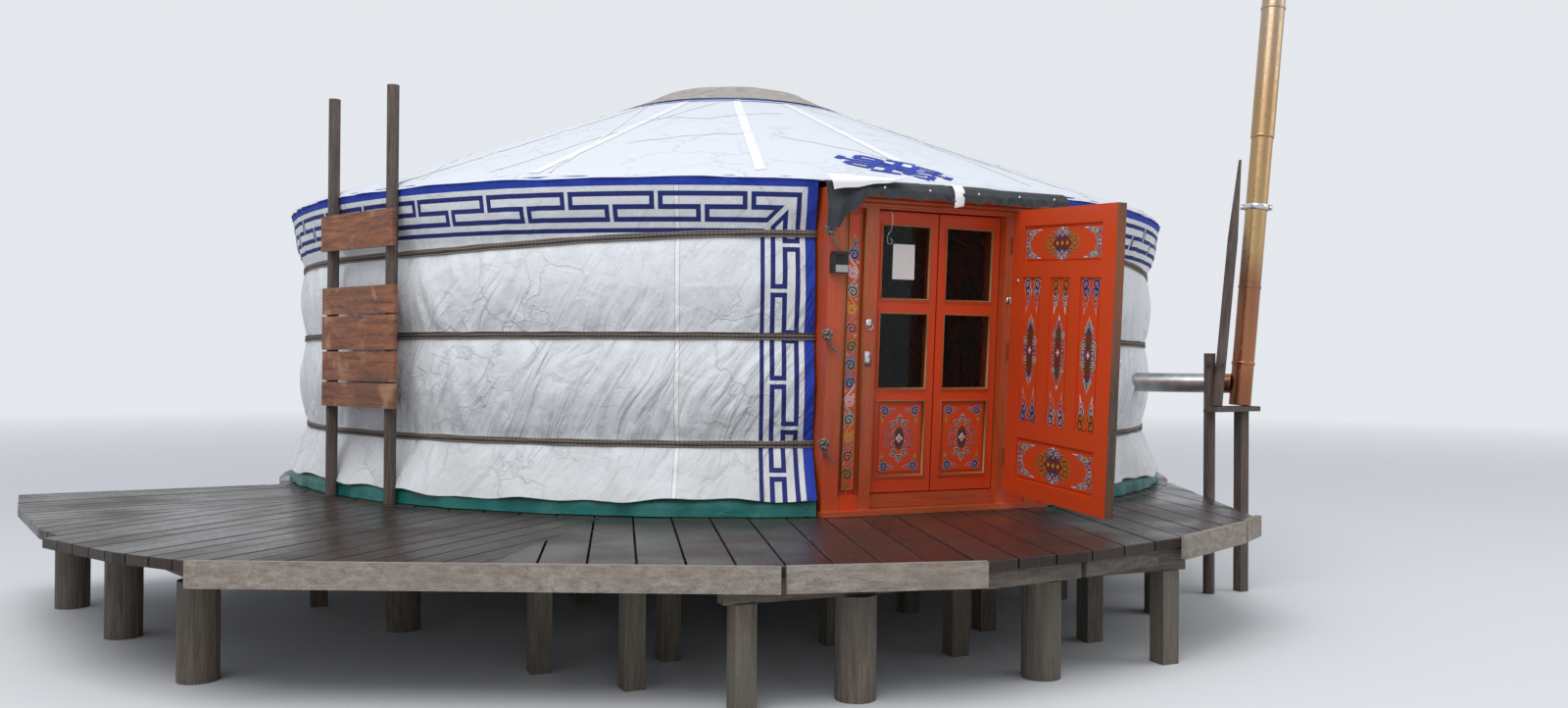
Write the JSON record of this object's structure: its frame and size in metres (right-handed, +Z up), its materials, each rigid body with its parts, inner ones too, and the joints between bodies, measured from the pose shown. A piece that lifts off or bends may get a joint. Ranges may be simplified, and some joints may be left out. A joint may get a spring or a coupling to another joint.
{
  "type": "yurt",
  "caption": "Round felt and canvas yurt with a painted double door, standing on a timber deck on posts, with a flue beside it.",
  "frame": {"origin": "on the ground under the crown's centre, at the foot of the centre post", "axes": "+Z up, the door faces -Y, +X to the right of someone who looks at the door"},
  "size_m": [7.6352, 7.6264, 4.1766],
  "materials": {
    "deck_board": "wet, weathered softwood boards",
    "plank_grey": "rough-sawn, silvered by weather",
    "post_wood": "barked log and sawn post, weathered",
    "lath_wood": "orange-brown painted laths",
    "canvas": "white cotton canvas with a blue border",
    "skirt_cloth": "green coated cloth",
    "hair_rope": "flat braided horsehair rope",
    "door_paint": "orange-red gloss paint with painted scrolls",
    "frame_paint": "orange varnish on turned and planed pine",
    "pane": "clear window glass",
    "hinge_steel": "plain steel, slightly rusted",
    "lamp_black": "black moulded plastic",
    "flap_cloth": "dark grey coated cloth",
    "crown_paint": "orange-red painted wood",
    "mesh_cloth": "fine beige-grey mesh over clear sheet",
    "zinc_pipe": "galvanised sheet",
    "tinted_pipe": "stainless sheet tinted brown and gold by heat",
    "sign_wood": "bare brown board",
    "sign_pole_wood": "grey debarked pole"
  },
  "bodies": {
    "yurt": {"deck_posts": "post_wood", "deck_joists": "post_wood", "floor": "deck_board", "terrace_panels": "deck_board", "edge_planks": "plank_grey", "lattice_1": "lath_wood", "lattice_2": "lath_wood", "lattice_3": "lath_wood", "lattice_4": "lath_wood", "lattice_5": "lath_wood", "wall_cover_1": "canvas", "wall_cover_2": "canvas", "wall_cover_3": "canvas", "wall_cover_4": "canvas", "wall_cover_5": "canvas", "wall_cover_6": "canvas", "wall_skirt": "skirt_cloth", "girth_ropes": "hair_rope", "door_posts": "frame_paint", "door_lintel": "frame_paint", "door_threshold": "frame_paint", "side_panels": "door_paint", "hinge_pins": "hinge_steel", "door_light": "lamp_black", "awning": "flap_cloth", "crown_wheel": "crown_paint", "crown_posts": "crown_paint", "crown_cover": "mesh_cloth", "roof_poles_left": "crown_paint", "roof_poles_right": "crown_paint", "roof_cover_front": "canvas", "roof_cover_right": "canvas", "roof_cover_back": "canvas", "roof_cover_left": "canvas", "flue_branch": "zinc_pipe", "flue_tee": "tinted_pipe", "flue_pipe": "tinted_pipe", "flue_cowl": "zinc_pipe", "flue_stand": "sign_pole_wood", "sign_poles": "sign_pole_wood", "sign_boards": "sign_wood"},
    "outer_door": {"outer_leaf": "door_paint"},
    "glazed_left": {"glazed_leaf_left": "door_paint", "glass_left": "pane"},
    "glazed_right": {"glazed_leaf_right": "door_paint", "glass_right": "pane"}
  },
  "joints": [
    {"name": "outer_leaf_hinge", "type": "hinge", "parent": "yurt", "child": "outer_door", "pos_m": [0.427, -3.00404, 0.6778], "axis": [0, -0.061, 0.9981], "range_deg": [-90, 30]},
    {"name": "glazed_left_hinge", "type": "hinge", "parent": "yurt", "child": "glazed_left", "pos_m": [-0.372, -2.87235, 0.68686], "axis": [0, -0.061, 0.9981], "range_deg": [0, 95]},
    {"name": "glazed_right_hinge", "type": "hinge", "parent": "yurt", "child": "glazed_right", "pos_m": [0.372, -2.87235, 0.68686], "axis": [0, 0.061, -0.9981], "range_deg": [0, 95]}
  ]
}
